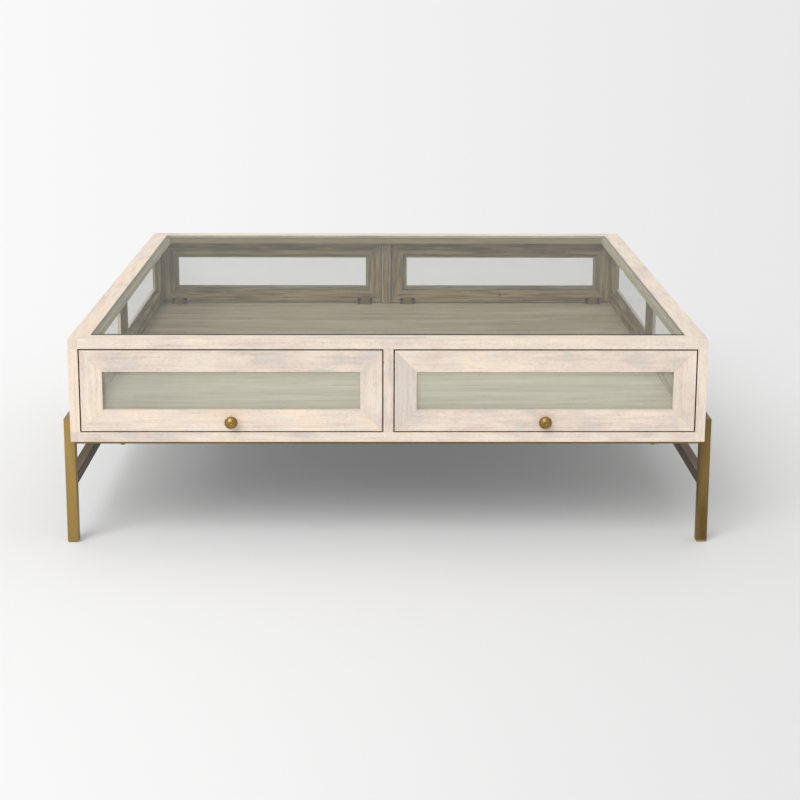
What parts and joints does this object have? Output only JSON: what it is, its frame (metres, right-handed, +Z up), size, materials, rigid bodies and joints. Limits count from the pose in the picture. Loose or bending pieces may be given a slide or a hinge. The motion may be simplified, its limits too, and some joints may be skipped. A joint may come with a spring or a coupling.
{
  "type": "coffee table",
  "caption": "Square wooden display coffee table with a glass top, fixed glass sides, lift-up glazed doors with round knobs, and a base of square brass-coloured tube.",
  "frame": {"origin": "on the floor, under the middle of the table", "axes": "+Z up, the front with a pair of doors faces -Y, the back with the other pair faces +Y, and the sides with the metal base frames face -X and +X"},
  "size_m": [1.2, 1.204, 0.401],
  "materials": {
    "washed_wood": "pale washed wood",
    "top_glass": "clear, polished edge",
    "window_glass": "clear",
    "base_brass": "aged satin",
    "knob_brass": "aged satin",
    "steel_fittings": "plain",
    "catch_plastic": "matt brown",
    "glide_plastic": "matt, the colour of the base"
  },
  "bodies": {
    "table": {"top_frame_front": "washed_wood", "top_frame_back": "washed_wood", "top_frame_left": "washed_wood", "top_frame_right": "washed_wood", "top_glass": "top_glass", "floor_board": "washed_wood", "left_side_stiles": "washed_wood", "left_side_bottom_rail": "washed_wood", "left_side_top_rail": "washed_wood", "left_side_panes": "window_glass", "right_side_stiles": "washed_wood", "right_side_bottom_rail": "washed_wood", "right_side_top_rail": "washed_wood", "right_side_panes": "window_glass", "front_centre_post": "washed_wood", "back_centre_post": "washed_wood", "magnetic_catches": "catch_plastic", "catch_screws": "steel_fittings", "door_pivot_pins": "steel_fittings", "leg_front_left": "base_brass", "leg_front_right": "base_brass", "leg_back_left": "base_brass", "leg_back_right": "base_brass", "upper_rail_left": "base_brass", "lower_rail_left": "base_brass", "upper_rail_right": "base_brass", "lower_rail_right": "base_brass", "cross_rail_front": "base_brass", "cross_rail_back": "base_brass", "foot_glides": "glide_plastic", "base_bolts": "base_brass"},
    "front_left_door": {"front_left_door_left_stile": "washed_wood", "front_left_door_right_stile": "washed_wood", "front_left_door_top_rail": "washed_wood", "front_left_door_bottom_rail": "washed_wood", "front_left_door_pane": "window_glass", "front_left_door_knob": "knob_brass", "front_left_door_fittings": "steel_fittings"},
    "front_right_door": {"front_right_door_left_stile": "washed_wood", "front_right_door_right_stile": "washed_wood", "front_right_door_top_rail": "washed_wood", "front_right_door_bottom_rail": "washed_wood", "front_right_door_pane": "window_glass", "front_right_door_knob": "knob_brass", "front_right_door_fittings": "steel_fittings"},
    "back_left_door": {"back_left_door_left_stile": "washed_wood", "back_left_door_right_stile": "washed_wood", "back_left_door_top_rail": "washed_wood", "back_left_door_bottom_rail": "washed_wood", "back_left_door_pane": "window_glass", "back_left_door_knob": "knob_brass", "back_left_door_fittings": "steel_fittings"},
    "back_right_door": {"back_right_door_left_stile": "washed_wood", "back_right_door_right_stile": "washed_wood", "back_right_door_top_rail": "washed_wood", "back_right_door_bottom_rail": "washed_wood", "back_right_door_pane": "window_glass", "back_right_door_knob": "knob_brass", "back_right_door_fittings": "steel_fittings"}
  },
  "joints": [
    {"name": "front_left_door_pivot", "type": "hinge", "parent": "table", "child": "front_left_door", "pos_m": [-0.2855, -0.571, 0.3556], "axis": [-1, 0, 0], "range_deg": [0, 120]},
    {"name": "front_right_door_pivot", "type": "hinge", "parent": "table", "child": "front_right_door", "pos_m": [0.2855, -0.571, 0.3556], "axis": [-1, 0, 0], "range_deg": [0, 120]},
    {"name": "back_left_door_pivot", "type": "hinge", "parent": "table", "child": "back_left_door", "pos_m": [-0.2855, 0.571, 0.3556], "axis": [1, 0, 0], "range_deg": [0, 120]},
    {"name": "back_right_door_pivot", "type": "hinge", "parent": "table", "child": "back_right_door", "pos_m": [0.2855, 0.571, 0.3556], "axis": [1, 0, 0], "range_deg": [0, 120]}
  ]
}
